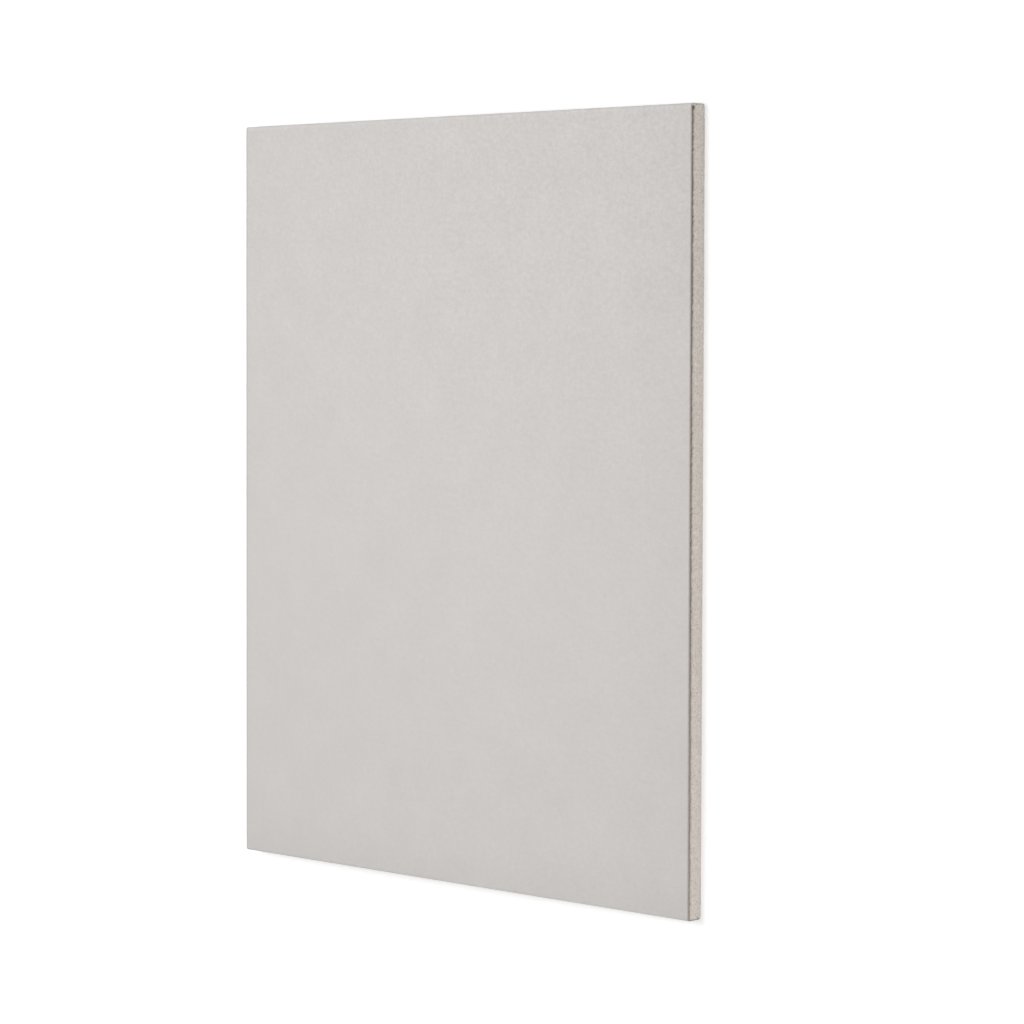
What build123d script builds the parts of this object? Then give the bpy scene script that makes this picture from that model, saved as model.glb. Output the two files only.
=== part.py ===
from build123d import *
import os

# A cut panel of gypsum wallboard, lying flat with its face up, in millimetres.
# X runs from cut end to cut end, Y from bound edge to bound edge, and Z up through the board.
# The origin is the middle of the back, on the floor.

# Overall sizes of the panel
panel_width = 400.0            # X, between the two cut ends
panel_length = 500.0           # Y, over the two paper-bound edges
board_thickness = 12.5         # Z, over both papers

# Papers
face_paper_thickness = 0.5     # ivory paper that covers the face and is folded round the bound edges
back_paper_thickness = 0.5     # grey paper glued over the back
fold_return = 25.0             # reach of the folded face paper in under the back, from each bound edge
back_paper_margin = 9.0        # bare strip of the fold that the back paper leaves at each bound edge

# Bound edges: radii that the gypsum takes inside the fold
face_corner_radius = 1.5
back_corner_radius = 1.0

# Cut ends: the gypsum has crumbled out beneath the paper's edge and left a narrow channel
channel_width_at_face = 1.0
channel_width_at_bound_edge = 0.4
channel_depth = 1.0
channel_corner_radius = 0.5

# Places worked out from the sizes above, in the section's own Y and Z
core_half_length = panel_length / 2 - face_paper_thickness
core_top = board_thickness - face_paper_thickness
fold_bottom = back_paper_thickness
core_bottom_on_fold = fold_bottom + face_paper_thickness
fold_end = panel_length / 2 - fold_return
back_paper_half_length = panel_length / 2 - back_paper_margin

left_end = Plane.YZ.offset(-panel_width / 2)
right_end = Plane.YZ.offset(panel_width / 2)

# The fold line is where paper and gypsum meet: in along the back, up the bound edge,
# across the face, down the other bound edge and in along the back again.
with BuildLine() as fold_line:
    FilletPolyline(
        (-fold_end, core_bottom_on_fold),
        (-core_half_length, core_bottom_on_fold),
        (-core_half_length, core_top),
        (core_half_length, core_top),
        (core_half_length, core_bottom_on_fold),
        (fold_end, core_bottom_on_fold),
        radius=[back_corner_radius, face_corner_radius, face_corner_radius, back_corner_radius],
    )

# Section of the gypsum: inside the fold line, and down to the back paper between the two returns
with BuildSketch() as core_section:
    with BuildLine():
        add(fold_line.line)
        Polyline(
            (fold_end, core_bottom_on_fold),
            (fold_end, fold_bottom),
            (-fold_end, fold_bottom),
            (-fold_end, core_bottom_on_fold),
        )
    make_face()

# Section of the face paper: one thickness laid against the outside of the fold line
with BuildSketch() as paper_section:
    with BuildLine():
        offset(fold_line.line, amount=face_paper_thickness, side=Side.LEFT)
    make_face()

# Section of the channel: a band of the gypsum that follows the face and both bound edges
with BuildSketch() as channel_section:
    add(core_section.sketch)
    with BuildSketch(mode=Mode.SUBTRACT):
        land_half_length = core_half_length - channel_width_at_bound_edge
        land_top = core_top - channel_width_at_face
        with BuildLine():
            FilletPolyline(
                (-land_half_length, 0),
                (-land_half_length, land_top),
                (land_half_length, land_top),
                (land_half_length, 0),
                radius=channel_corner_radius,
            )
            Line((land_half_length, 0), (-land_half_length, 0))
        make_face()


# Gypsum core
with BuildPart() as gypsum_core:
    with BuildSketch(left_end):
        add(core_section.sketch)
    extrude(amount=panel_width)
    with BuildSketch(right_end):
        add(channel_section.sketch)
    extrude(amount=-channel_depth, mode=Mode.SUBTRACT)
    with BuildSketch(left_end):
        add(channel_section.sketch)
    extrude(amount=channel_depth, mode=Mode.SUBTRACT)

# Face paper, folded round both bound edges
with BuildPart() as face_paper:
    with BuildSketch(left_end):
        add(paper_section.sketch)
    extrude(amount=panel_width)

# Back paper, lapped over the two returns of the face paper
with BuildPart() as back_paper:
    with BuildSketch(left_end):
        Rectangle(
            2 * back_paper_half_length,
            back_paper_thickness,
            align=(Align.CENTER, Align.MIN),
        )
    extrude(amount=panel_width)


gypsum_core.part.label = "gypsum_core"
face_paper.part.label = "face_paper"
back_paper.part.label = "back_paper"

os.makedirs("parts", exist_ok=True)
export_step(gypsum_core.part, "parts/gypsum_core.step")
export_step(face_paper.part, "parts/face_paper.step")
export_step(back_paper.part, "parts/back_paper.step")
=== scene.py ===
import math

import bpy
import numpy as np
from mathutils import Matrix, Vector, noise


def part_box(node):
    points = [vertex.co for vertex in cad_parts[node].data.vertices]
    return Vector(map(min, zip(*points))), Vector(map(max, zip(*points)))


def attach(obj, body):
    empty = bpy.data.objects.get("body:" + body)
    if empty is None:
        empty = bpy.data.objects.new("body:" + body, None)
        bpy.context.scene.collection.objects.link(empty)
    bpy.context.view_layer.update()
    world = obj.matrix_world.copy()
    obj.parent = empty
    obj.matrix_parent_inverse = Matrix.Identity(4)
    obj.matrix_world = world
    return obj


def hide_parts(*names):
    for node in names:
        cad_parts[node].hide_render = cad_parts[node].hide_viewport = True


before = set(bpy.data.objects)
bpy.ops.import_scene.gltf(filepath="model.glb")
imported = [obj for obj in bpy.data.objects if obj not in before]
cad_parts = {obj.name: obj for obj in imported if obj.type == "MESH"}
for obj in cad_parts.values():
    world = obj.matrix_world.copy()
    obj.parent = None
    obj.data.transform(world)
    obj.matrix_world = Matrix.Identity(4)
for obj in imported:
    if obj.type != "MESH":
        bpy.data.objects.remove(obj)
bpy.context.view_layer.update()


# Sizes of the board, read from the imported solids, in metres

def solidPoints(nodeName):
    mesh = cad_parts[nodeName].data
    flat = np.empty(len(mesh.vertices) * 3)
    mesh.vertices.foreach_get("co", flat)
    return flat.reshape(-1, 3)


def readBoard():
    hair = 2e-6    # two places nearer than this are the same
    core = solidPoints("gypsum_core")
    coreLow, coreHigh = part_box("gypsum_core")
    faceLow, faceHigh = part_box("face_paper")
    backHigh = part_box("back_paper")[1]
    paperThickness = faceHigh.z - coreHigh.z
    foldTop = faceLow.z + paperThickness
    reach = np.abs(core[:, 1])
    atTop = core[:, 2] > coreHigh.z - hair
    atFold = np.abs(core[:, 2] - foldTop) < hair
    atEnd = core[:, 0] > coreHigh.x - hair
    inChannel = ~atEnd & (core[:, 0] > 0)
    return {
        "halfX": faceHigh.x,
        "halfY": faceHigh.y,
        "facePaper": paperThickness,
        "backPaper": backHigh.z,
        "backHalfY": backHigh.y,
        "coreHalfY": coreHigh.y,
        "coreTop": coreHigh.z,
        "coreBottom": coreLow.z,
        "foldTop": foldTop,
        "foldEnd": reach[atFold].min(),
        "topRadius": coreHigh.y - reach[atTop].max(),
        "backRadius": coreHigh.y - reach[atFold].max(),
        "landTop": core[atEnd, 2].max(),
        "landHalfY": reach[atEnd].max(),
        "channelDepth": coreHigh.x - core[inChannel, 0].max(),
    }


board = readBoard()
print("board in mm", {name: round(value * 1000, 3) for name, value in board.items()})


# Mesh helpers

def addObject(name, data):
    made = bpy.data.objects.new(name, data)
    bpy.context.scene.collection.objects.link(made)
    return made


def buildMesh(name, points, faces, sharpDegrees=50):
    mesh = bpy.data.meshes.new(name)
    mesh.from_pydata(points.tolist(), [], faces)
    mesh.shade_smooth()
    mesh.set_sharp_from_angle(angle=math.radians(sharpDegrees))
    return addObject(name, mesh)


def storeValue(obj, name, values, domain="POINT"):
    attribute = obj.data.attributes.new(name, "FLOAT", domain)
    attribute.data.foreach_set("value", np.asarray(values, np.float32))


def ripple(places, length, seed):
    # smooth noise along a line, about -1 to 1, one value for each place
    offGrid = 0.37     # the noise is 0 at whole numbers
    fullSwing = 1.6
    return np.array([noise.noise(Vector((at / length, seed, offGrid))) for at in places]) * fullSwing


def rise(values):
    # smooth step from 0 to 1
    share = np.clip(values, 0, 1)
    return share * share * (3 - 2 * share)


# Node helpers

def place(tree, kind, x, y, **settings):
    made = tree.nodes.new(kind)
    made.location = (x, y)
    for name, value in settings.items():
        setattr(made, name, value)
    return made


def fill(tree, socket, value):
    # a socket takes another node's output, or a plain value
    if isinstance(value, bpy.types.NodeSocket):
        tree.links.new(value, socket)
    elif value is not None:
        socket.default_value = value


def fillAll(tree, node, **values):
    for name, value in values.items():
        fill(tree, node.inputs[name.replace("_", " ")], value)
    return node.outputs


def newGroup(name, kind, inputs, outputs):
    # inputs: name -> (socket type, default or None); outputs: name -> socket type
    tree = bpy.data.node_groups.new(name, kind)
    for socketName, (socketType, value) in inputs.items():
        socket = tree.interface.new_socket(socketName, in_out="INPUT", socket_type=socketType)
        if value is not None:
            socket.default_value = value
    for socketName, socketType in outputs.items():
        tree.interface.new_socket(socketName, in_out="OUTPUT", socket_type=socketType)
    given, out = place(tree, "NodeGroupInput", -900, 0), place(tree, "NodeGroupOutput", 900, 0)
    return tree, given.outputs, out.inputs


def calc(tree, operation, first, second, x, y, clamp=False):
    made = place(tree, "ShaderNodeMath", x, y, operation=operation, use_clamp=clamp)
    fill(tree, made.inputs[0], first)
    fill(tree, made.inputs[1], second)
    return made.outputs[0]


def calcVector(tree, operation, vector, other, x, y):
    # SCALE alone takes a number
    made = place(tree, "ShaderNodeVectorMath", x, y, operation=operation)
    fill(tree, made.inputs[0], vector)
    fill(tree, made.inputs["Scale" if operation == "SCALE" else 1], other)
    return made.outputs[0]


def splitAxes(tree, vector, x, y):
    return fillAll(tree, place(tree, "ShaderNodeSeparateXYZ", x, y), Vector=vector)


def remap(tree, value, low, high, newLow, newHigh, x, y, smooth=False):
    made = place(tree, "ShaderNodeMapRange", x, y, clamp=True)
    made.interpolation_type = "SMOOTHSTEP" if smooth else "LINEAR"
    fillAll(tree, made, Value=value, From_Min=low, From_Max=high, To_Min=newLow, To_Max=newHigh)
    return made.outputs["Result"]


def addNoise(tree, x, y, **values):
    return fillAll(tree, place(tree, "ShaderNodeTexNoise", x, y), **values)


def aboutOne(tree, value, contrast, x, y):
    # noise about 0.5 becomes a tone about 1
    centred = calc(tree, "SUBTRACT", value, 0.5, x, y)
    doubled = calc(tree, "MULTIPLY", centred, 2.0, x + 180, y)
    swing = calc(tree, "MULTIPLY", doubled, contrast, x + 360, y)
    return calc(tree, "ADD", swing, 1.0, x + 540, y)


def blendColour(tree, factor, first, second, x, y, mode="MIX"):
    made = place(tree, "ShaderNodeMix", x, y, data_type="RGBA", blend_type=mode)
    # a Mix node's two colours are its inputs 6 and 7, and its output 2
    for index, value in ((0, factor), (6, first), (7, second)):
        fill(tree, made.inputs[index], value)
    return made.outputs[2]


def useGroup(tree, group, x, y, **values):
    return fillAll(tree, place(tree, "ShaderNodeGroup", x, y, node_tree=group), **values)


# Shader groups, each used by more than one finish

def makePaperFibre():
    # fine stipple and short fibres that lie mostly along the board; Tone is about 1
    tree, given, out = newGroup(
        "Paper Fibre", "ShaderNodeTree",
        {
            "Vector": ("NodeSocketVector", None),
            "Grain Size": ("NodeSocketFloat", 0.0011),
            "Fibre Length": ("NodeSocketFloat", 0.005),
            "Contrast": ("NodeSocketFloat", 0.03),
        },
        {"Tone": "NodeSocketFloat", "Height": "NodeSocketFloat"},
    )
    vector, grainSize = given["Vector"], given["Grain Size"]
    scale = calc(tree, "DIVIDE", 1.0, grainSize, -700, 200)
    stipple = addNoise(tree, -450, 250, Vector=vector, Scale=scale, Detail=3.0, Roughness=0.62)

    # the same noise drawn out along X makes the fibres
    stretch = calc(tree, "DIVIDE", grainSize, given["Fibre Length"], -700, -50)
    squeeze = fillAll(tree, place(tree, "ShaderNodeCombineXYZ", -540, -60), X=stretch, Y=1.0, Z=1.0)
    along = calcVector(tree, "MULTIPLY", vector, squeeze[0], -380, -60)
    fibres = addNoise(tree, -200, -60, Vector=along, Scale=scale, Detail=4.0, Distortion=0.9)

    both = calc(tree, "ADD", stipple[0], fibres[0], 50, 100)
    centred = calc(tree, "SUBTRACT", both, 1.0, 220, 100)
    swing = calc(tree, "MULTIPLY", centred, given["Contrast"], 390, 100)
    fill(tree, out["Tone"], calc(tree, "ADD", swing, 1.0, 560, 100))
    fill(tree, out["Height"], calc(tree, "MULTIPLY", both, 0.5, 390, -60))
    return tree


def makeMottle():
    # slow patches of lighter and darker tone; Tone is about 1
    tree, given, out = newGroup(
        "Tone Mottle", "ShaderNodeTree",
        {
            "Vector": ("NodeSocketVector", None),
            "Patch Size": ("NodeSocketFloat", 0.03),
            "Contrast": ("NodeSocketFloat", 0.02),
        },
        {"Tone": "NodeSocketFloat"},
    )
    scale = calc(tree, "DIVIDE", 1.0, given["Patch Size"], -700, 100)
    patches = addNoise(tree, -450, 100, Vector=given["Vector"], Scale=scale, Detail=2.5, Roughness=0.45)
    fill(tree, out["Tone"], aboutOne(tree, patches[0], given["Contrast"], -150, 100))
    return tree


def makeBorderWear():
    # a worn, handled band along the panel's borders; Mask is 0 inside and 1 at the very edge
    tree, given, out = newGroup(
        "Border Wear", "ShaderNodeTree",
        {
            "Vector": ("NodeSocketVector", None),
            "Half X": ("NodeSocketFloat", 0.2),
            "Half Y": ("NodeSocketFloat", 0.25),
            "Reach": ("NodeSocketFloat", 0.012),
            "Break Up": ("NodeSocketFloat", 0.5),
        },
        {"Mask": "NodeSocketFloat"},
    )
    axes = splitAxes(tree, given["Vector"], -700, 200)
    gaps = []
    for axis, half, y in (("X", "Half X", 300), ("Y", "Half Y", 100)):
        size = calc(tree, "ABSOLUTE", axes[axis], None, -520, y)
        gaps.append(calc(tree, "SUBTRACT", given[half], size, -350, y))
    nearest = calc(tree, "MINIMUM", gaps[0], gaps[1], -180, 200)
    band = remap(tree, nearest, 0.0, given["Reach"], 1.0, 0.0, 0, 200, smooth=True)

    # scuffs break the band up
    scuffScale = 160.0      # about 6 mm each
    scuffLow, scuffHigh = 0.3, 0.7
    scuffs = addNoise(tree, -350, -150, Vector=given["Vector"], Scale=scuffScale, Detail=5.0)
    patchy = remap(tree, scuffs[0], scuffLow, scuffHigh, 0.0, 1.0, 0, -150)
    lost = calc(tree, "MULTIPLY", patchy, given["Break Up"], 200, -150)
    kept = calc(tree, "SUBTRACT", 1.0, lost, 380, -150)
    fill(tree, out["Mask"], calc(tree, "MULTIPLY", band, kept, 560, 100, clamp=True))
    return tree


# holes and flecks are set out in cells; density is the number of cells along one grain
grainPattern = {
    "waverDensity": 1.8,       # of the ripples in the outlines, in the same way
    "wideHoles": {"density": 1.0, "leastDraw": 0.55, "smallest": 0.08, "largest": 0.38},
    "fineHoles": {"density": 2.6, "leastDraw": 0.70, "smallest": 0.12, "largest": 0.36},
    "flatShare": 0.55,         # of a hole's radius
    "shallowest": 0.4,         # of the deepest hole
    "fleckDraws": (0.74, 0.84),    # cells that draw more are pale
    "fleckReach": (0.2, 0.55),
}


def addHoles(tree, vector, grainScale, holes, y):
    # a cell that draws more than leastDraw holds one hole, with a radius in shares of the cell
    cells = place(tree, "ShaderNodeTexVoronoi", -450, y)
    cellScale = calc(tree, "MULTIPLY", grainScale, holes["density"], -620, y)
    distance = fillAll(tree, cells, Vector=vector, Scale=cellScale)["Distance"]
    split = place(tree, "ShaderNodeSeparateColor", -230, y - 100)
    draws = fillAll(tree, split, Color=cells.outputs["Color"])
    leastDraw = holes["leastDraw"]
    picked = calc(tree, "GREATER_THAN", draws["Red"], leastDraw, -50, y)
    radius = remap(tree, draws["Red"], leastDraw, 1.0, holes["smallest"], holes["largest"], -50, y - 120)
    flat = calc(tree, "MULTIPLY", radius, grainPattern["flatShare"], 120, y - 200)
    dip = remap(tree, distance, flat, radius, 1.0, 0.0, 280, y - 100, smooth=True)
    depth = remap(tree, draws["Blue"], 0.0, 1.0, grainPattern["shallowest"], 1.0, 120, y - 350)
    sunk = calc(tree, "MULTIPLY", dip, depth, 450, y - 100)
    return calc(tree, "MULTIPLY", sunk, picked, 600, y), distance, draws["Green"]


def makeMineralGrain():
    # cut gypsum: fine crystals with pale flecks, and pin holes of uneven size and outline
    tree, given, out = newGroup(
        "Mineral Grain", "ShaderNodeTree",
        {
            "Vector": ("NodeSocketVector", None),
            "Grain Size": ("NodeSocketFloat", 0.0012),
            "Contrast": ("NodeSocketFloat", 0.12),
            "Wobble": ("NodeSocketFloat", 0.3),
        },
        {"Tone": "NodeSocketFloat", "Pin Hole": "NodeSocketFloat", "Fleck": "NodeSocketFloat",
         "Height": "NodeSocketFloat"},
    )
    vector, grainSize = given["Vector"], given["Grain Size"]
    scale = calc(tree, "DIVIDE", 1.0, grainSize, -700, 200)
    crystals = addNoise(tree, -450, 250, Vector=vector, Scale=scale, Detail=4.0, Roughness=0.7)[0]

    # outlines waver by a share of the grain size
    waverScale = calc(tree, "MULTIPLY", scale, grainPattern["waverDensity"], -1300, -300)
    waver = addNoise(tree, -1120, -300, Vector=vector, Scale=waverScale)["Color"]
    centred = calcVector(tree, "SUBTRACT", waver, (0.5, 0.5, 0.5), -950, -300)
    amount = calc(tree, "MULTIPLY", grainSize, given["Wobble"], -950, -450)
    shift = calcVector(tree, "SCALE", centred, amount, -780, -300)
    uneven = calcVector(tree, "ADD", vector, shift, -620, -300)

    wideHoles, distance, fleckDraw = addHoles(tree, uneven, scale, grainPattern["wideHoles"], -500)
    fineHoles = addHoles(tree, uneven, scale, grainPattern["fineHoles"], -1000)[0]
    hole = calc(tree, "MAXIMUM", wideHoles, fineHoles, 760, -700)
    pale = remap(tree, fleckDraw, *grainPattern["fleckDraws"], 0.0, 1.0, -50, -50)
    spread = remap(tree, distance, *grainPattern["fleckReach"], 1.0, 0.0, -50, -200, smooth=True)

    fill(tree, out["Tone"], aboutOne(tree, crystals, given["Contrast"], -50, 250))
    fill(tree, out["Pin Hole"], hole)
    fill(tree, out["Fleck"], calc(tree, "MULTIPLY", pale, spread, 150, -100))
    fill(tree, out["Height"], calc(tree, "SUBTRACT", crystals, hole, 480, 0))
    return tree


paperFibre = makePaperFibre()
toneMottle = makeMottle()
borderWear = makeBorderWear()
mineralGrain = makeMineralGrain()
print("shader groups made")


# Materials

def newMaterial(name):
    material = bpy.data.materials.new(name)
    material.use_nodes = True
    tree = material.node_tree
    tree.nodes.clear()
    out = place(tree, "ShaderNodeOutputMaterial", 1500, 0)
    shader = place(tree, "ShaderNodeBsdfPrincipled", 1200, 0)
    fill(tree, out.inputs["Surface"], shader.outputs[0])
    where = place(tree, "ShaderNodeTexCoord", -1200, 0).outputs["Object"]
    return material, tree, shader, where


def tint(colour):
    return (*colour, 1.0)


def scaled(tree, colour, tone, x, y):
    # a colour times a tone that changes over the surface
    grey = place(tree, "ShaderNodeCombineColor", x - 180, y)
    fillAll(tree, grey, Red=tone, Green=tone, Blue=tone)
    return blendColour(tree, 1.0, colour, grey.outputs[0], x, y, mode="MULTIPLY")


def storedValue(tree, name, x, y):
    return place(tree, "ShaderNodeAttribute", x, y, attribute_name=name).outputs["Fac"]


def addSurface(tree, shader, height, look):
    # bump, and a roughness that follows it
    gloss = remap(tree, height, *look["glossHeights"], *look["roughness"], 400, -100)
    bump = place(tree, "ShaderNodeBump", 950, -400)
    fillAll(tree, bump, Strength=look["bumpStrength"], Distance=look["bumpDistance"], Height=height)
    fillAll(tree, shader, Roughness=gloss, Specular_IOR_Level=look["specular"], Normal=bump.outputs[0])


def paperEdgeTone(tree, axes, look):
    # painted shade towards the lower bound edge and the right cut, painted light on the upper fold, and the
    # darker line beside the cuts, wear and painted shade, as one tone
    halfX, halfY = board["halfX"], look["halfY"]
    paintedLowShade = remap(tree, axes["Y"], -halfY, look["paintedLowShadeReach"] - halfY, 1 - look["paintedLowShade"], 1.0,
                    -1300, 300, smooth=True)
    paintedSideShade = remap(tree, axes["X"], halfX - look["paintedSideShadeReach"], halfX, 1.0, 1 - look["paintedSideShade"],
                     -1300, -100, smooth=True)
    foldPaintedLight = remap(tree, axes["Y"], halfY - look["foldPaintedLightReach"], halfY, 1.0, 1 + look["foldPaintedLight"],
                     -1300, -300)
    reach = calc(tree, "ABSOLUTE", axes["X"], None, -1300, 100)
    atCut = remap(tree, axes["Y"], -halfY, 0.0, 1 - look["cutWearAndShadeLow"], 1 - look["cutWearAndShade"], -1300, -500)
    cutWearAndShade = remap(tree, reach, halfX - look["cutWearAndShadeReach"], halfX, 1.0, atCut, -1120, 100)
    paintedEdgeShade = calc(tree, "MULTIPLY", paintedLowShade, paintedSideShade, -1120, -100)
    bordered = calc(tree, "MULTIPLY", paintedEdgeShade, foldPaintedLight, -1120, -300)
    return calc(tree, "MULTIPLY", bordered, cutWearAndShade, -900, 600)


def paperMaterial(name, look):
    material, tree, shader, where = newMaterial(name)
    axes = splitAxes(tree, where, -1500, 500)
    halfX, halfY = board["halfX"], look["halfY"]
    napY = remap(tree, axes["Y"], look["napFrom"], halfY, *look["napUp"], -1300, 700)
    napX = remap(tree, axes["X"], -halfX, halfX, *look["napAcross"], -1300, 500)
    nap = calc(tree, "MULTIPLY", napX, napY, -1120, 600)
    contrast = calc(tree, "MULTIPLY", nap, look["grainContrast"], -1120, 400)
    fibre = useGroup(tree, paperFibre, -900, 300, Vector=where, Grain_Size=look["grainSize"],
                     Fibre_Length=look["fibreLength"], Contrast=contrast)
    mottle = useGroup(tree, toneMottle, -900, 0, Vector=where, Patch_Size=look["patchSize"],
                      Contrast=look["patchContrast"])
    wear = useGroup(tree, borderWear, -900, -300, Vector=where, Half_X=halfX, Half_Y=halfY,
                    Reach=look["wearReach"], Break_Up=look["wearBreakUp"])
    tone = calc(tree, "MULTIPLY", fibre["Tone"], mottle["Tone"], -600, 200)
    sheetTone = calc(tree, "MULTIPLY", tone, paperEdgeTone(tree, axes, look), -600, 400)
    sheetColour = scaled(tree, tint(look["colour"]), sheetTone, -300, 200)
    worn = calc(tree, "MULTIPLY", wear["Mask"], look["wearAmount"], -600, -300)
    handled = blendColour(tree, worn, sheetColour, tint(look["wornColour"]), 0, 200)

    # the plies that show on the cut edge, darkened by the stored painted shade of the cut line
    plyTone = remap(tree, fibre["Height"], *look["plyHeights"], *look["plyTones"], -300, -100)
    shade = storedValue(tree, "cutShade", -600, -700)
    cutColour = blendColour(tree, shade, tint(look["cutPale"]), tint(look["cutDark"]), -300, -700)
    plies = scaled(tree, cutColour, plyTone, 0, -100)
    onCut = storedValue(tree, "cutEdge", -300, -500)
    fill(tree, shader.inputs["Base Color"], blendColour(tree, onCut, handled, plies, 400, 200))
    addSurface(tree, shader, fibre["Height"], look)
    return material


facePaperLook = {
    "halfY": board["halfY"],
    "colour": (0.640, 0.612, 0.592),
    "wornColour": (0.520, 0.492, 0.470),
    "cutPale": (0.455, 0.412, 0.395),
    # the dark of the cut's plies, deepened as painted shade of the cut line
    "cutDark": (0.250, 0.193, 0.140),
    "plyHeights": (0.35, 0.65),
    "plyTones": (0.85, 1.15),
    "grainSize": 0.0026,
    "fibreLength": 0.0042,
    "grainContrast": 0.083,
    "napFrom": -0.05,        # from there the stipple grows stronger towards the upper bound edge
    "napUp": (0.88, 2.05),
    "napAcross": (0.90, 1.52),    # and towards the right cut
    # wear and painted shade of the cut line, on the face beside the cut
    "cutWearAndShadeReach": 0.0013,
    "cutWearAndShade": 0.42,
    "cutWearAndShadeLow": 0.24,      # less of it towards the lower bound edge
    "paintedLowShade": 0.038,        # painted shade: darker towards the lower bound edge
    "paintedLowShadeReach": 0.032,
    "paintedSideShade": 0.02,        # and painted shade a little towards the right cut
    "paintedSideShadeReach": 0.08,
    "foldPaintedLight": 0.11,        # painted light: paler where the paper turns over the upper bound edge
    "foldPaintedLightReach": 0.0034,
    "patchSize": 0.024,
    "patchContrast": 0.035,
    "wearReach": 0.014,
    "wearBreakUp": 0.45,
    "wearAmount": 0.05,
    "glossHeights": (0.3, 0.7),
    "roughness": (0.72, 0.92),
    "specular": 0.25,
    "bumpStrength": 0.35,
    "bumpDistance": 0.00006,
}
faceFinish = paperMaterial("ivoryFacePaper", facePaperLook)

backPaperLook = {
    **facePaperLook,
    "halfY": board["backHalfY"],
    "colour": (0.434, 0.402, 0.366),
    "wornColour": (0.330, 0.302, 0.272),
    # painted light: paler, to offset the shade near the floor
    "cutPale": (0.680, 0.640, 0.600),
    "grainSize": 0.0016,
    "fibreLength": 0.0075,
    "grainContrast": 0.22,
    "napUp": (1.0, 1.0),     # the stipple is the same all over
    "napAcross": (1.0, 1.0),
    "cutWearAndShadeReach": 0.0012,
    "cutWearAndShade": 0.30,
    "cutWearAndShadeLow": 0.30,
    "paintedLowShade": 0.04,
    "paintedLowShadeReach": 0.03,
    "paintedSideShade": 0.03,
    "paintedSideShadeReach": 0.05,
    "foldPaintedLight": 0.0,         # this paper isn't folded
    "patchSize": 0.035,
    "patchContrast": 0.06,
    "wearReach": 0.012,
    "wearBreakUp": 0.6,
    "wearAmount": 0.35,
    "roughness": (0.82, 0.98),
    "specular": 0.2,
    "bumpStrength": 0.6,
    "bumpDistance": 0.0001,
}
backFinish = paperMaterial("greyBackPaper", backPaperLook)


def gypsumMaterial(name, look, hasChannel):
    material, tree, shader, where = newMaterial(name)
    grain = useGroup(tree, mineralGrain, -900, 300, Vector=where, Grain_Size=look["grainSize"],
                     Contrast=look["grainContrast"], Wobble=look["wobble"])
    mottle = useGroup(tree, toneMottle, -900, 0, Vector=where, Patch_Size=look["patchSize"],
                      Contrast=look["patchContrast"])
    tone = calc(tree, "MULTIPLY", grain["Tone"], mottle["Tone"], -600, 200)
    finished = scaled(tree, tint(look["colour"]), tone, -300, 200)

    # each layer: where it lies, how strong it is there, and its colour; the dark of pin holes and pores is
    # painted shade, the channel's is dust and painted shade
    layers = [(grain["Fleck"], look["fleckAmount"], look["fleckColour"]),
              (grain["Pin Hole"], look["holeShadeAmount"], look["holeShadeColour"])]
    if hasChannel:
        pore, channel = storedValue(tree, "pore", -300, -400), storedValue(tree, "channel", -300, -600)
        layers.append((pore, look["poreShadeAmount"], look["holeShadeColour"]))
        layers.append((channel, look["channelAmount"], look["channelDustAndShadeColour"]))
    for step, (mask, amount, colour) in enumerate(layers):
        share = calc(tree, "MULTIPLY", mask, amount, 250 * step - 300, -200)
        finished = blendColour(tree, share, finished, tint(colour), 250 * step - 50, 200)
    fill(tree, shader.inputs["Base Color"], finished)
    addSurface(tree, shader, grain["Height"], look)
    return material


gypsumLook = {
    "colour": (0.602, 0.554, 0.507),
    "fleckColour": (0.760, 0.715, 0.665),
    # painted shade in the pin holes and pores
    "holeShadeColour": (0.250, 0.205, 0.170),
    # dust and painted shade in the channel under the face paper
    "channelDustAndShadeColour": (0.235, 0.175, 0.130),
    "fleckAmount": 0.60,
    "holeShadeAmount": 0.85,
    "poreShadeAmount": 0.55,
    "channelAmount": 1.0,
    "grainSize": 0.0014,
    "grainContrast": 0.42,
    "patchSize": 0.004,
    "patchContrast": 0.10,
    "wobble": 0.5,
    "glossHeights": (0.2, 0.8),
    "roughness": (0.86, 1.0),
    "specular": 0.15,
    "bumpStrength": 0.8,
    "bumpDistance": 0.00012,
}
gypsumFinish = gypsumMaterial("sawnGypsum", gypsumLook, hasChannel=True)

crumbLook = {
    **gypsumLook,
    "colour": (0.470, 0.420, 0.368),    # greyer than the core, from the knife and the dust
    "fleckColour": (0.600, 0.550, 0.500),
    "grainSize": 0.0004,
    "wobble": 0.2,
    "bumpDistance": 0.00004,
}
crumbFinish = gypsumMaterial("gypsumCrumb", crumbLook, hasChannel=False)
print("materials made")


# Gypsum core: the same section as the solid, with fine meshes on its two cut ends

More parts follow.
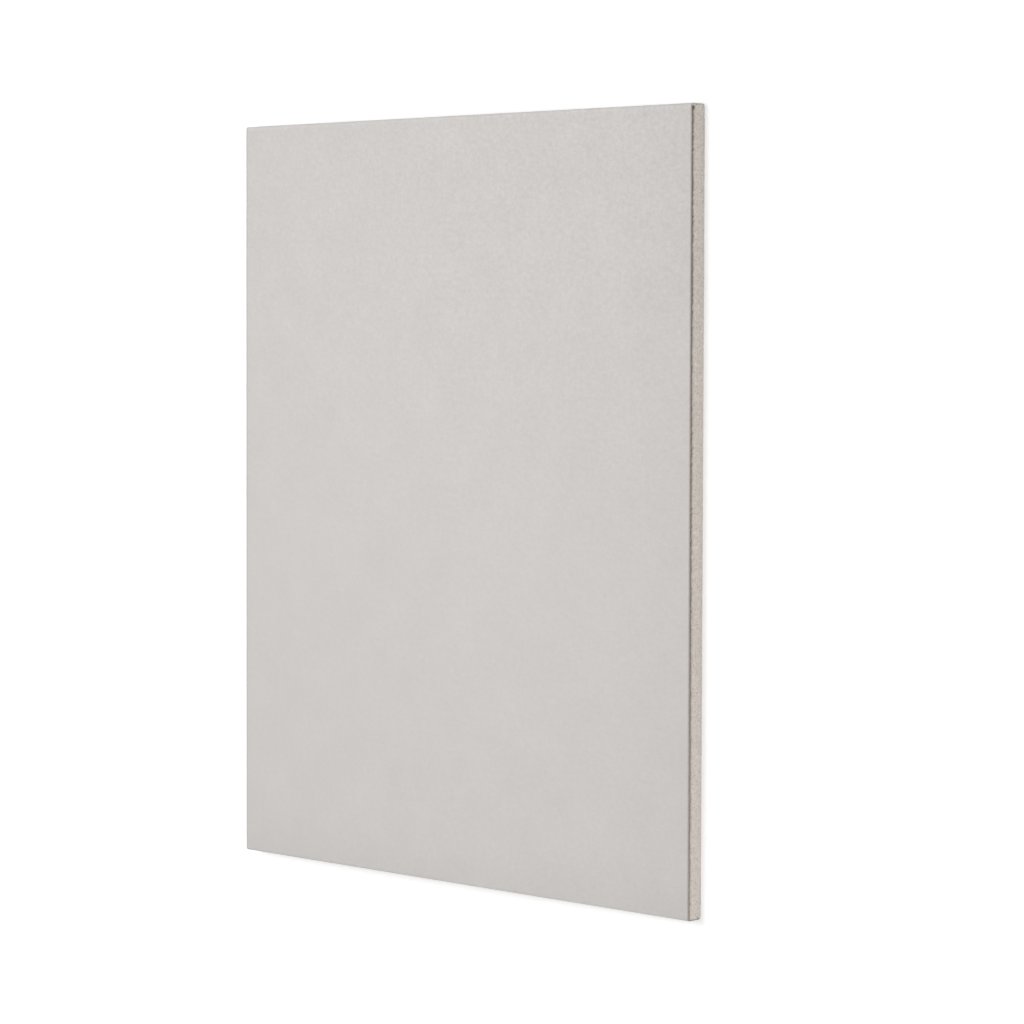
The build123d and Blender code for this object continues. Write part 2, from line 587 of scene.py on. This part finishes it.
# a pair of values is for the lower and for the upper bound edge
coreMesh = {
    "pitch": 0.00048,          # between points on the cut ends
    "edgePitch": 0.00013,      # near the bound edges
    "edgeReach": 0.0019,
    "lipPitch": 0.00009,       # across the channel's lip
    "lipBelow": 0.0010,
    "lipAbove": 0.00045,
    "topRows": 4,              # from the lip to the top
    "stepWidth": 0.00004,      # the side of the step on the back, nearly upright
    "lipSlope": 0.00028,       # width over which the lip falls into the channel
    "lipWander": 0.00010,
    "lipWanderLength": 0.006,
    "lipNibble": (0.00026, 0.00048),
    "lipNibbleLength": 0.0018,
    "lipSag": (0.00050, 0.0),
    "cornerLoss": 0.0007,      # more has crumbled out just under the upper bound edge
    "cornerAt": 0.2477,
    "cornerReach": 0.0009,
    "fillFrom": 0.2481,        # above that the channel is nearly full again
    "fillFade": 0.0007,
    "fillShare": 0.8,
    "sideDepth": (0.45, 0.35),    # crumbs have filled the channel beside the bound edges
    # the channel's dust and painted shade, and how far they reach out over the gypsum
    "dustAndShadeReach": 0.0025,
    "dustAndShadeAmount": 0.95,
    "seeds": {1: 11.0, -1: 47.0},    # of the lip on the right and on the left end
    "nibbleSeed": 5.3,         # added to them
}
# how dark the cut line is, its dust, plies and painted shade together
cutLine = {
    "places": (-0.25, -0.12, 0.0, 0.12, 0.2455, 0.2472),    # along the cut, from the lower bound edge
    "shades": (0.32, 0.43, 0.49, 0.60, 0.60, 1.0),
    "endsAt": 0.2480,          # clean at the upper bound edge
    "endFade": 0.0008,
}


def coreColumns():
    halfY = board["coreHalfY"]
    edge = np.arange(0, coreMesh["edgeReach"], coreMesh["edgePitch"])
    inner = halfY - coreMesh["edgeReach"]
    middle = np.linspace(-inner, inner, int(2 * inner / coreMesh["pitch"]))
    halfStep = coreMesh["stepWidth"] / 2
    steps = [side * board["foldEnd"] + turn * halfStep for side in (-1, 1) for turn in (-1, 1)]
    return np.sort(np.concatenate([edge - halfY, middle, halfY - edge, steps]))


def coreRows():
    # shares of the way from the core's underside to its top
    bottom, top, pitch = board["coreBottom"], board["coreTop"], coreMesh["pitch"]
    lipLow = board["landTop"] - coreMesh["lipBelow"]
    lipHigh = board["landTop"] + coreMesh["lipAbove"]
    heights = np.concatenate([
        np.arange(bottom, lipLow - pitch / 2, pitch),
        np.arange(lipLow, lipHigh, coreMesh["lipPitch"]),
        np.linspace(lipHigh, top, coreMesh["topRows"]),
    ])
    return (heights - bottom) / (top - bottom)


def cornerDrop(beyond, radius):
    # how far a rounded corner has fallen away, that far beyond the start of its arc
    beyond = np.clip(beyond, 0, radius)
    return radius - np.sqrt(radius ** 2 - beyond ** 2)


def lineShade(y):
    # how dark the painted shade of the cut line under the face paper is, from the lower to the upper bound
    # edge
    fading = 1 - rise((y - cutLine["endsAt"]) / cutLine["endFade"])
    return np.interp(y, cutLine["places"], cutLine["shades"]) * fading


def lipHeight(y, seed):
    # where the gypsum ends and the channel starts, at each place along the cut
    upShare = rise(y / (2 * board["coreHalfY"]) + 0.5)
    pairs = (coreMesh["lipNibble"], coreMesh["lipSag"])
    nibbleSize, sag = (lower + (upper - lower) * upShare for lower, upper in pairs)
    wander = coreMesh["lipWander"] * ripple(y, coreMesh["lipWanderLength"], seed)
    nibble = nibbleSize * ripple(y, coreMesh["lipNibbleLength"], seed + coreMesh["nibbleSeed"])
    corner = coreMesh["cornerLoss"] * np.exp(-((y - coreMesh["cornerAt"]) / coreMesh["cornerReach"]) ** 2)
    return board["landTop"] + wander + nibble - corner - sag


def channelShare(y, z, seed):
    # depth is 0 on the gypsum and 1 in the channel beneath the paper, with a crumbled lip between;
    # the channel's dust and painted shade reach a little farther out over the gypsum
    overLip = z - lipHeight(y[0], seed)[None, :]
    overTop = overLip / coreMesh["lipSlope"] + 0.5
    overSide = (np.abs(y) - board["landHalfY"]) / coreMesh["lipSlope"] + 0.5
    lowerDepth, upperDepth = coreMesh["sideDepth"]
    sideDepth = np.where(y > 0, upperDepth, lowerDepth)
    filled = 1 - coreMesh["fillShare"] * rise((y - coreMesh["fillFrom"]) / coreMesh["fillFade"])
    depth = np.maximum(rise(overTop) * filled, rise(overSide) * sideDepth)
    dustAndShade = coreMesh["dustAndShadeAmount"] * rise(overLip / coreMesh["dustAndShadeReach"] + 1) ** 2
    return depth, np.maximum(depth, dustAndShade) * lineShade(y)


def buildCore():
    columns, rows = coreColumns(), coreRows()
    reach = np.abs(columns)
    topArc = cornerDrop(reach - (board["coreHalfY"] - board["topRadius"]), board["topRadius"])
    backArc = cornerDrop(reach - (board["coreHalfY"] - board["backRadius"]), board["backRadius"])
    top = board["coreTop"] - topArc
    bottom = np.where(reach < board["foldEnd"], board["coreBottom"], board["foldTop"]) + backArc
    y = np.repeat(columns[None, :], len(rows), axis=0)
    z = bottom[None, :] + rows[:, None] * (top - bottom)[None, :]

    # one grid of points on each end, and the values that the trees and the finish read there
    points, stored = [], {"side": [], "channel": [], "hollow": []}
    for side, seed in coreMesh["seeds"].items():
        depth, dustAndShade = channelShare(y, z, seed)
        x = side * (board["halfX"] - depth * board["channelDepth"])
        points.append(np.stack([x, y, z], axis=-1).reshape(-1, 3))
        for name, values in (("side", np.full(y.shape, side)), ("channel", dustAndShade), ("hollow", depth)):
            stored[name].append(values.ravel())

    # both grids are filled with faces and joined round their rims
    high, wide = y.shape
    grid = np.arange(high * wide).reshape(high, wide)
    quads = np.stack([grid[:-1, :-1], grid[:-1, 1:], grid[1:, 1:], grid[1:, :-1]], axis=-1).reshape(-1, 4)
    rim = np.concatenate([grid[0, :], grid[1:, -1], grid[-1, -2::-1], grid[-2:0:-1, 0]])
    nextOnRim = np.roll(rim, -1)
    other = high * wide    # from a point of the first grid to the same point of the second
    around = np.stack([rim, rim + other, nextOnRim + other, nextOnRim], axis=-1)
    faces = np.concatenate([quads, quads[:, ::-1] + other, around])
    core = buildMesh("gypsumCore", np.concatenate(points), faces.tolist())
    for name, parts in stored.items():
        storeValue(core, name, np.concatenate(parts))
    return core


# The sawn relief and the air bubbles that the saw cut open, over both ends
sawnRelief = {
    "Relief Depth": 0.00016,
    "Relief Size": 0.0019,
    "Pore Size": 0.00062,
    "Pore Spacing": 0.0019,
    "Seed": 3.0,
}


def readStored(tree, name, x, y):
    made = place(tree, "GeometryNodeInputNamedAttribute", x, y, data_type="FLOAT")
    return fillAll(tree, made, Name=name)[0]


def finishTree(tree, geometry, out, material, x):
    # every tree ends in real geometry with its own finish
    whole = fillAll(tree, place(tree, "GeometryNodeRealizeInstances", x, 200), Geometry=geometry)
    dress = place(tree, "GeometryNodeSetMaterial", x + 200, 200)
    fill(tree, out["Geometry"], fillAll(tree, dress, Geometry=whole[0], Material=material)[0])


def makeSawnRelief(material):
    tree, given, out = newGroup(
        "Sawn Relief", "GeometryNodeTree",
        {
            "Geometry": ("NodeSocketGeometry", None),
            **{name: ("NodeSocketFloat", value) for name, value in sawnRelief.items()},
        },
        {"Geometry": "NodeSocketGeometry"},
    )
    here = place(tree, "GeometryNodeInputPosition", -1300, -200).outputs[0]
    seed = given["Seed"]

    # broad saw relief
    reliefLow, reliefHigh = 0.25, 0.75
    reliefScale = calc(tree, "DIVIDE", 1.0, given["Relief Size"], -1100, 100)
    relief = place(tree, "ShaderNodeTexNoise", -900, 100, noise_dimensions="4D")
    fillAll(tree, relief, Vector=here, W=seed, Scale=reliefScale, Detail=2.0)
    reliefShare = remap(tree, relief.outputs[0], reliefLow, reliefHigh, 0.0, 1.0, -700, 100)
    reliefDepth = calc(tree, "MULTIPLY", reliefShare, given["Relief Depth"], -500, 100)

    # bubbles: each cell of the pattern holds one sphere, of its own radius
    smallestPore = 0.25      # as a share of the largest
    poreScale = calc(tree, "DIVIDE", 1.0, given["Pore Spacing"], -1100, -200)
    cells = place(tree, "ShaderNodeTexVoronoi", -900, -200, voronoi_dimensions="4D")
    fillAll(tree, cells, Vector=here, W=seed, Scale=poreScale)
    draws = fillAll(tree, place(tree, "FunctionNodeSeparateColor", -700, -300), Color=cells.outputs["Color"])
    largest = calc(tree, "MULTIPLY", given["Pore Size"], poreScale, -700, -450)
    share = remap(tree, draws[0], 0.0, 1.0, smallestPore, 1.0, -500, -300)
    radius = calc(tree, "MULTIPLY", largest, share, -300, -300)
    radiusSquared = calc(tree, "MULTIPLY", radius, radius, -120, -300)
    away = cells.outputs["Distance"]
    awaySquared = calc(tree, "MULTIPLY", away, away, -500, -150)
    inside = calc(tree, "SUBTRACT", radiusSquared, awaySquared, 50, -200)
    kept = calc(tree, "MAXIMUM", inside, 0.0, 220, -200)
    root = calc(tree, "SQRT", kept, None, 390, -200)
    poreDepth = calc(tree, "MULTIPLY", root, given["Pore Spacing"], 560, -200)
    poreMask = calc(tree, "DIVIDE", poreDepth, given["Pore Size"], 560, -400, clamp=True)
    store = place(tree, "GeometryNodeStoreNamedAttribute", -300, 300, data_type="FLOAT", domain="POINT")
    fillAll(tree, store, Geometry=given["Geometry"], Name="pore", Value=poreMask)

    # relief and bubbles only ever go into the board
    depth = calc(tree, "ADD", reliefDepth, poreDepth, 740, 0)
    signed = calc(tree, "MULTIPLY", depth, readStored(tree, "side", -300, -500), 900, 0)
    inwards = calc(tree, "MULTIPLY", signed, -1.0, 1060, 0)
    push = fillAll(tree, place(tree, "ShaderNodeCombineXYZ", 1220, 0), X=inwards)
    move = place(tree, "GeometryNodeSetPosition", 1400, 200)
    fillAll(tree, move, Geometry=store.outputs[0], Offset=push[0])
    finishTree(tree, move.outputs[0], out, material, 1600)
    return tree


def runNodes(obj, tree, values):
    # sets the modifier's inputs by identifier, then keeps the result as a plain mesh
    modifier = obj.modifiers.new("nodes", "NODES")
    modifier.node_group = tree
    for item in tree.interface.items_tree:
        if item.item_type == "SOCKET" and item.in_out == "INPUT" and item.name in values:
            modifier[item.identifier] = values[item.name]
    bpy.context.view_layer.update()
    evaluated = obj.evaluated_get(bpy.context.evaluated_depsgraph_get())
    result = bpy.data.meshes.new_from_object(evaluated)
    obj.modifiers.remove(modifier)
    obj.data = result
    result.name = obj.name
    return obj


gypsumCore = runNodes(buildCore(), makeSawnRelief(gypsumFinish), sawnRelief)
print("gypsum core,", len(gypsumCore.data.polygons), "faces")


# Crumbs of gypsum that the knife left along the channel's lip, half sunk in it
lipCrumbs = {
    "Density": 2200000.0,      # for a square metre of lip
    "Smallest": 0.00007,
    "Largest": 0.00020,
    "Lumpiness": 0.35,
    "Cut At": board["halfX"],
    "Channel Depth": board["channelDepth"],
    "Seed": 5,
}
crumbPattern = {
    "setIn": (0.3, 0.45),      # shares of the channel's depth over which the crumbs set in
    "thinOut": (0.85, 0.98),   # and over which they thin out
    "dentScale": 1.3,
    "dentLevel": 0.6,          # noise below this dents a crumb
    "margin": 1.2,             # on a crumb's own reach and on the channel's depth
}


def makeLipCrumbs(material):
    tree, given, out = newGroup(
        "Lip Crumbs", "GeometryNodeTree",
        {
            "Geometry": ("NodeSocketGeometry", None),
            **{name: ("NodeSocketInt" if name == "Seed" else "NodeSocketFloat", value)
               for name, value in lipCrumbs.items()},
        },
        {"Geometry": "NodeSocketGeometry"},
    )

    # only where the lip falls into the channel
    hollow = readStored(tree, "hollow", -900, -300)
    below = remap(tree, hollow, *crumbPattern["setIn"], 0.0, 1.0, -700, -200)
    above = remap(tree, hollow, *crumbPattern["thinOut"], 1.0, 0.0, -700, -450)
    onLip = calc(tree, "MULTIPLY", below, above, -500, -300)
    crowd = calc(tree, "MULTIPLY", onLip, given["Density"], -300, -200)
    scatter = place(tree, "GeometryNodeDistributePointsOnFaces", -100, 100, distribute_method="RANDOM")
    fillAll(tree, scatter, Mesh=given["Geometry"], Density=crowd, Seed=given["Seed"])

    # one lumpy crumb of few faces
    crumb = fillAll(tree, place(tree, "GeometryNodeMeshIcoSphere", -900, 500), Radius=1.0, Subdivisions=1)
    here = place(tree, "GeometryNodeInputPosition", -900, 300).outputs[0]
    dents = addNoise(tree, -700, 300, Vector=here, Scale=crumbPattern["dentScale"])
    dented = calc(tree, "SUBTRACT", dents[0], crumbPattern["dentLevel"], -500, 300)
    share = calc(tree, "MULTIPLY", dented, given["Lumpiness"], -350, 300)
    lumpy = place(tree, "GeometryNodeSetPosition", -50, 450)
    fillAll(tree, lumpy, Geometry=crumb[0], Offset=calcVector(tree, "SCALE", here, share, -200, 300))

    # each crumb gets its own three sizes and turn
    sizes = place(tree, "FunctionNodeRandomValue", 50, -200, data_type="FLOAT_VECTOR")
    turns = place(tree, "FunctionNodeRandomValue", 50, -450, data_type="FLOAT_VECTOR")
    for socket, value in (
        (sizes.inputs[0], given["Smallest"]),
        (sizes.inputs[1], given["Largest"]),
        (sizes.inputs["Seed"], given["Seed"]),
        (turns.inputs[1], (math.tau, math.tau, math.tau)),
    ):
        fill(tree, socket, value)

    # on the cut ends alone, and no crumb stands out past them
    margin = crumbPattern["margin"]
    spot = place(tree, "GeometryNodeInputPosition", -100, -700).outputs[0]
    reach = calc(tree, "ABSOLUTE", splitAxes(tree, spot, 50, -700)["X"], None, 200, -700)
    room = calc(tree, "SUBTRACT", given["Cut At"], reach, 350, -700)
    widest = calc(tree, "MULTIPLY", given["Largest"], margin, 350, -850)
    clear = calc(tree, "GREATER_THAN", room, widest, 500, -700)
    deepest = calc(tree, "MULTIPLY", given["Channel Depth"], margin, 500, -850)
    atEnd = calc(tree, "LESS_THAN", room, deepest, 650, -850)
    kept = calc(tree, "MULTIPLY", clear, atEnd, 800, -700)
    spread = place(tree, "GeometryNodeInstanceOnPoints", 300, 200)
    fillAll(tree, spread, Points=scatter.outputs["Points"], Selection=kept, Instance=lumpy.outputs[0],
            Rotation=turns.outputs[0], Scale=sizes.outputs[0])
    finishTree(tree, spread.outputs[0], out, material, 500)
    return tree


gypsumCrumbs = addObject("gypsumCrumbs", gypsumCore.data.copy())
runNodes(gypsumCrumbs, makeLipCrumbs(crumbFinish), lipCrumbs)
print("gypsum crumbs,", len(gypsumCrumbs.data.polygons), "faces")


# Papers: each is a path across the board, given a thickness, and cut at both ends

paperMesh = {
    "pitch": 0.0008,         # along the path
    "foldPitch": 0.0016,     # down the bound edges and under the back
    "cornerSteps": 8,
    "fromCut": (0.0, 0.0002, 0.0006, 0.0015, 0.004, 0.009, 0.018, 0.03),    # rows near each cut
    "spanFrom": 0.045,       # and from there to the middle
    "spanPitch": 0.02,
    "middleGap": 0.005,
    "fray": 0.00012,         # how far the cut edge wanders in from the cut
    "fraySwing": 0.45,
    "frayLength": 0.0014,
    "driftTimes": 5,         # its slow drift is so many times longer
    "driftShare": 0.5,
    "frayFade": 0.001,       # the rows behind the cut follow it less and less
    "outerRound": 0.00007,   # the cut edge is rounded over on the outer side
    "innerRound": 0.000042,
    "wave": 0.00005,         # slow hollows in the outer surface
    "waveLength": 0.06,
    "darkFrom": 0.0098,      # heights between which the cut darkens towards the face, partly its plies and partly painted shade
    "darkTo": 0.0117,
    "lowFrom": 0.2478,       # painted shade: a half dark line at the lower bound edge
    "lowFade": 0.0014,
    "lowShade": 0.36,
    "lowLift": 0.001,        # which starts above the return under the back
    "lowRise": 0.002,
}


def straight(start, end, pitch):
    start, end = np.array(start), np.array(end)
    count = max(2, int(np.linalg.norm(end - start) / pitch) + 1)
    return start + np.linspace(0, 1, count)[:, None] * (end - start)


def arc(centre, radius, start, end):
    # points inside the arc, without its two ends, and the outward direction at each
    turn = np.radians(np.linspace(start, end, paperMesh["cornerSteps"] + 1))[1:-1]
    out = np.stack([np.cos(turn), np.sin(turn)], axis=-1)
    return np.array(centre) + radius * out, out


def facePath():
    # the fold line, in Y and Z, with the outward direction at each point
    halfY, low, high = board["coreHalfY"], board["foldTop"], board["coreTop"]
    back, top = board["backRadius"], board["topRadius"]
    under = straight((board["foldEnd"], low), (halfY - back, low), paperMesh["foldPitch"])
    side = straight((halfY, low + back), (halfY, high - top), paperMesh["foldPitch"])
    over = straight((top - halfY, high), (halfY - top, high), paperMesh["pitch"])
    backArc, backOut = arc((halfY - back, low + back), back, -90, 0)
    topArc, topOut = arc((halfY - top, high - top), top, 0, 90)

    # one half goes from the return under the back round the bound edge and up to the face
    halfPoints = np.concatenate([under, backArc, side, topArc])
    underOut = np.tile([0.0, -1.0], (len(under), 1))
    sideOut = np.tile([1.0, 0.0], (len(side), 1))
    halfOut = np.concatenate([underOut, backOut, sideOut, topOut])
    flip = np.array([-1.0, 1.0])
    points = np.concatenate([halfPoints * flip, over, halfPoints[::-1]])
    out = np.concatenate([halfOut * flip, np.tile([0.0, 1.0], (len(over), 1)), halfOut[::-1]])
    return points, out


def backPath():
    halfY, top = board["backHalfY"], board["backPaper"]
    points = straight((halfY, top), (-halfY, top), paperMesh["pitch"])
    return points, np.tile([0.0, -1.0], (len(points), 1))


def frayedEdge(along, seed, side):
    # how far the cut edge stands back, for each point along the path
    fine = ripple(along, paperMesh["frayLength"], seed + side)
    slow = ripple(along, paperMesh["frayLength"] * paperMesh["driftTimes"], seed - side)
    swing = paperMesh["fraySwing"] * (fine + paperMesh["driftShare"] * slow)
    return paperMesh["fray"] * np.clip(0.5 + swing, 0, 1)


def buildPaper(name, path, thickness, seed):
    inner, out = path
    along = np.concatenate([[0], np.cumsum(np.linalg.norm(np.diff(inner, axis=0), axis=1))])
    count = len(inner)
    frays = {side: frayedEdge(along, seed, side) for side in (-1, 1)}

    # rows of points across the board, from the left cut to the right one
    spanTo = board["halfX"] - paperMesh["middleGap"]
    gaps = [*paperMesh["fromCut"], *np.arange(paperMesh["spanFrom"], spanTo, paperMesh["spanPitch"])]
    stations = [(-1, gap) for gap in gaps] + [(1, gap) for gap in gaps[::-1]]
    spans = len(stations)

    def row(side, gap, level):
        # level is 0 on the inner surface and 1 on the outer one
        x = side * (board["halfX"] - gap - frays[side] * math.exp(-gap / paperMesh["frayFade"]))
        lift = thickness * level * np.ones(count)
        if level == 1:
            length = paperMesh["waveLength"]
            slow = [noise.noise(Vector((here / length, far / length, seed))) for here, far in zip(x, along)]
            lift = lift - paperMesh["wave"] * np.clip(0.5 + 0.5 * np.array(slow), 0, 1)
        return np.column_stack([x, inner + out * lift[:, None]])

    outer = [row(side, gap or paperMesh["outerRound"], 1) for side, gap in stations]
    under = [row(side, gap or paperMesh["innerRound"], 0) for side, gap in stations]
    mids = [row(-1, 0.0, 0.5), row(1, 0.0, 0.5)]
    points = np.concatenate([*outer, *under, *mids])
    midLeft = 2 * spans * count
    midRight = midLeft + count

    def at(layer, station, index):
        # layer 0 is the outer surface, 1 the inner one
        return (layer * spans + station) * count + index

    # both surfaces
    index, last = np.arange(count - 1), count - 1
    plain = []
    for station in range(spans - 1):
        here, there = at(0, station, index), at(0, station + 1, index)
        plain.append(np.stack([here, there, there + 1, here + 1], axis=-1))
        here, there = at(1, station, index), at(1, station + 1, index)
        plain.append(np.stack([here, here + 1, there + 1, there], axis=-1))

    # the long edges where the path starts and ends
    span = np.arange(spans - 1)
    first = [at(0, span, 0), at(1, span, 0), at(1, span + 1, 0), at(0, span + 1, 0)]
    final = [at(0, span, last), at(0, span + 1, last), at(1, span + 1, last), at(1, span, last)]
    plain += [np.stack(first, axis=-1), np.stack(final, axis=-1)]

    # the two cuts, each from the outer surface over its middle row to the inner one
    cut, corners = [], []
    for station, mid, turn in ((0, midLeft, -1), (spans - 1, midRight, 1)):
        high, low, middle = at(0, station, index), at(1, station, index), mid + index
        cut.append(np.stack([middle, middle + 1, high + 1, high], axis=-1)[:, ::turn])
        cut.append(np.stack([low, low + 1, middle + 1, middle], axis=-1)[:, ::turn])
        for pathEnd, sense in ((0, -turn), (last, turn)):
            trio = [at(0, station, pathEnd), mid + pathEnd, at(1, station, pathEnd)]
            corners.append(trio[::sense])

    plain, cut = np.concatenate(plain), np.concatenate(cut)
    paper = buildMesh(name, points, plain.tolist() + cut.tolist() + corners)
    onCut = np.concatenate([np.zeros(len(plain)), np.ones(len(cut) + len(corners))])
    storeValue(paper, "cutEdge", onCut, "FACE")
    return paper, points


def faceCutShade(y, z):
    # the cut is dark along the face, partly its own plies and partly painted shade, pale at the upper bound
    # edge, and half dark at the lower one with painted shade
    darkSpan = paperMesh["darkTo"] - paperMesh["darkFrom"]
    overFace = rise((z - paperMesh["darkFrom"]) / darkSpan) * lineShade(y)
    lowEdge = paperMesh["lowShade"] * rise((-y - paperMesh["lowFrom"]) / paperMesh["lowFade"])
    return np.maximum(overFace, lowEdge * rise((z - paperMesh["lowLift"]) / paperMesh["lowRise"]))


facePaper, facePoints = buildPaper("facePaper", facePath(), board["facePaper"], seed=2.7)
storeValue(facePaper, "cutShade", faceCutShade(facePoints[:, 1], facePoints[:, 2]))
facePaper.data.materials.append(faceFinish)
print("face paper,", len(facePaper.data.polygons), "faces")

backPaper, backPoints = buildPaper("backPaper", backPath(), board["backPaper"], seed=8.1)
storeValue(backPaper, "cutShade", np.zeros(len(backPoints)))
backPaper.data.materials.append(backFinish)
print("back paper,", len(backPaper.data.polygons), "faces")


# Hand the pieces to the frame

for piece, cadNode, slotName in (
    (gypsumCore, "gypsum_core", "gypsum"),
    (facePaper, "face_paper", "face_paper"),
    (backPaper, "back_paper", "back_paper"),
):
    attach(piece, "root")
    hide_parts(cadNode)
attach(gypsumCrumbs, "root")


# Studio: pale floor, soft lamps, and the camera over the panel

studio = {
    "floorHalf": 8.0,
    "floorDrop": 0.00005,
    "floorColour": (0.80, 0.80, 0.80),
    "liftNear": 0.35,           # added for the camera only, so that the open floor is white
    "liftFar": 0.66,
    "liftFrom": 0.24,
    "liftTo": 0.55,
    "skyColour": (1.0, 1.0, 1.0),
    "skyStrength": 0.45,
}
lamps = {
    "keyLamp": {"at": (-0.08, 0.14, 1.15), "aim": (-0.04, 0.05, 0.0), "size": 0.6, "power": 5.5},
    "leftLamp": {"at": (-2.4, 1.7, 2.2), "aim": (0.0, 0.0, 0.0), "size": 1.2, "power": 20.0},
    "sideLamp": {"at": (2.2, -1.2, 0.38), "aim": (0.2, 0.0, 0.0), "size": 0.7, "power": 23.5},
}
cameraSetup = {
    "lens": 117.48,
    "sensor": 36.0,
    "shiftY": -0.0586,
    "at": (1.5107, 0.1189, 1.5699),
    "aim": (0.0397, 0.0329, 0.0),
    "rollDegrees": 0.163,
}


def seenDirectly(tree, x, y):
    # 1 where the camera, a mirror or a glass shows the surface
    path = place(tree, "ShaderNodeLightPath", x, y).outputs
    both = calc(tree, "ADD", path["Is Camera Ray"], path["Is Glossy Ray"], x + 200, y)
    return calc(tree, "ADD", both, path["Is Transmission Ray"], x + 400, y, clamp=True)


def makeFloor():
    half = studio["floorHalf"]
    z = -studio["floorDrop"]
    mesh = bpy.data.meshes.new("studioFloor")
    corners = [(-half, -half, z), (half, -half, z), (half, half, z), (-half, half, z)]
    mesh.from_pydata(corners, [], [(0, 1, 2, 3)])
    floor = addObject("studioFloor", mesh)
    material = bpy.data.materials.new("studioFloor")
    material.use_nodes = True
    tree = material.node_tree
    tree.nodes.clear()
    out = place(tree, "ShaderNodeOutputMaterial", 600, 0)
    matte = fillAll(tree, place(tree, "ShaderNodeBsdfDiffuse", 0, 100), Color=tint(studio["floorColour"]))
    where = place(tree, "ShaderNodeTexCoord", -900, -300).outputs["Object"]
    away = place(tree, "ShaderNodeVectorMath", -700, -300, operation="LENGTH")
    fill(tree, away.inputs[0], where)
    amount = remap(tree, away.outputs["Value"], studio["liftFrom"], studio["liftTo"], studio["liftNear"],
                   studio["liftFar"], -500, -300, smooth=True)
    strength = calc(tree, "MULTIPLY", seenDirectly(tree, -900, -100), amount, -200, -100)
    lift = fillAll(tree, place(tree, "ShaderNodeEmission", 0, -100), Strength=strength)
    both = place(tree, "ShaderNodeAddShader", 300, 0)
    fill(tree, both.inputs[0], matte[0])
    fill(tree, both.inputs[1], lift[0])
    fill(tree, out.inputs["Surface"], both.outputs[0])
    mesh.materials.append(material)


def makeSky():
    world = bpy.data.worlds.new("studioSky")
    world.use_nodes = True
    tree = world.node_tree
    tree.nodes.clear()
    out = place(tree, "ShaderNodeOutputWorld", 600, 0)
    strength = remap(tree, seenDirectly(tree, -600, 0), 0.0, 1.0, studio["skyStrength"], 1.0, 50, 0)
    sky = place(tree, "ShaderNodeBackground", 300, 0)
    fillAll(tree, sky, Color=tint(studio["skyColour"]), Strength=strength)
    fill(tree, out.inputs["Surface"], sky.outputs[0])
    bpy.context.scene.world = world


def makeLamp(name, lamp):
    light = bpy.data.lights.new(name, "AREA")
    light.shape = "DISK"
    light.size = lamp["size"]
    light.energy = lamp["power"]
    obj = addObject(name, light)
    obj.visible_camera = False
    obj.location = lamp["at"]
    obj.rotation_euler = (Vector(lamp["aim"]) - Vector(lamp["at"])).to_track_quat("-Z", "Y").to_euler()


def makeCamera():
    view = bpy.data.cameras.new("camera")
    view.lens = cameraSetup["lens"]
    view.sensor_width = cameraSetup["sensor"]
    view.shift_y = cameraSetup["shiftY"]
    camera = addObject("camera", view)
    forward = (Vector(cameraSetup["aim"]) - Vector(cameraSetup["at"])).normalized()
    right = forward.cross(Vector((0, 1, 0))).normalized()
    up = right.cross(forward)
    roll = Matrix.Rotation(math.radians(cameraSetup["rollDegrees"]), 3, "Z")
    turn = Matrix((right, up, -forward)).transposed() @ roll
    camera.matrix_world = Matrix.Translation(cameraSetup["at"]) @ turn.to_4x4()
    bpy.context.scene.camera = camera


makeFloor()
makeSky()
for lampName, lamp in lamps.items():
    makeLamp(lampName, lamp)
makeCamera()
bpy.context.scene.view_settings.view_transform = "Standard"
print("studio made")
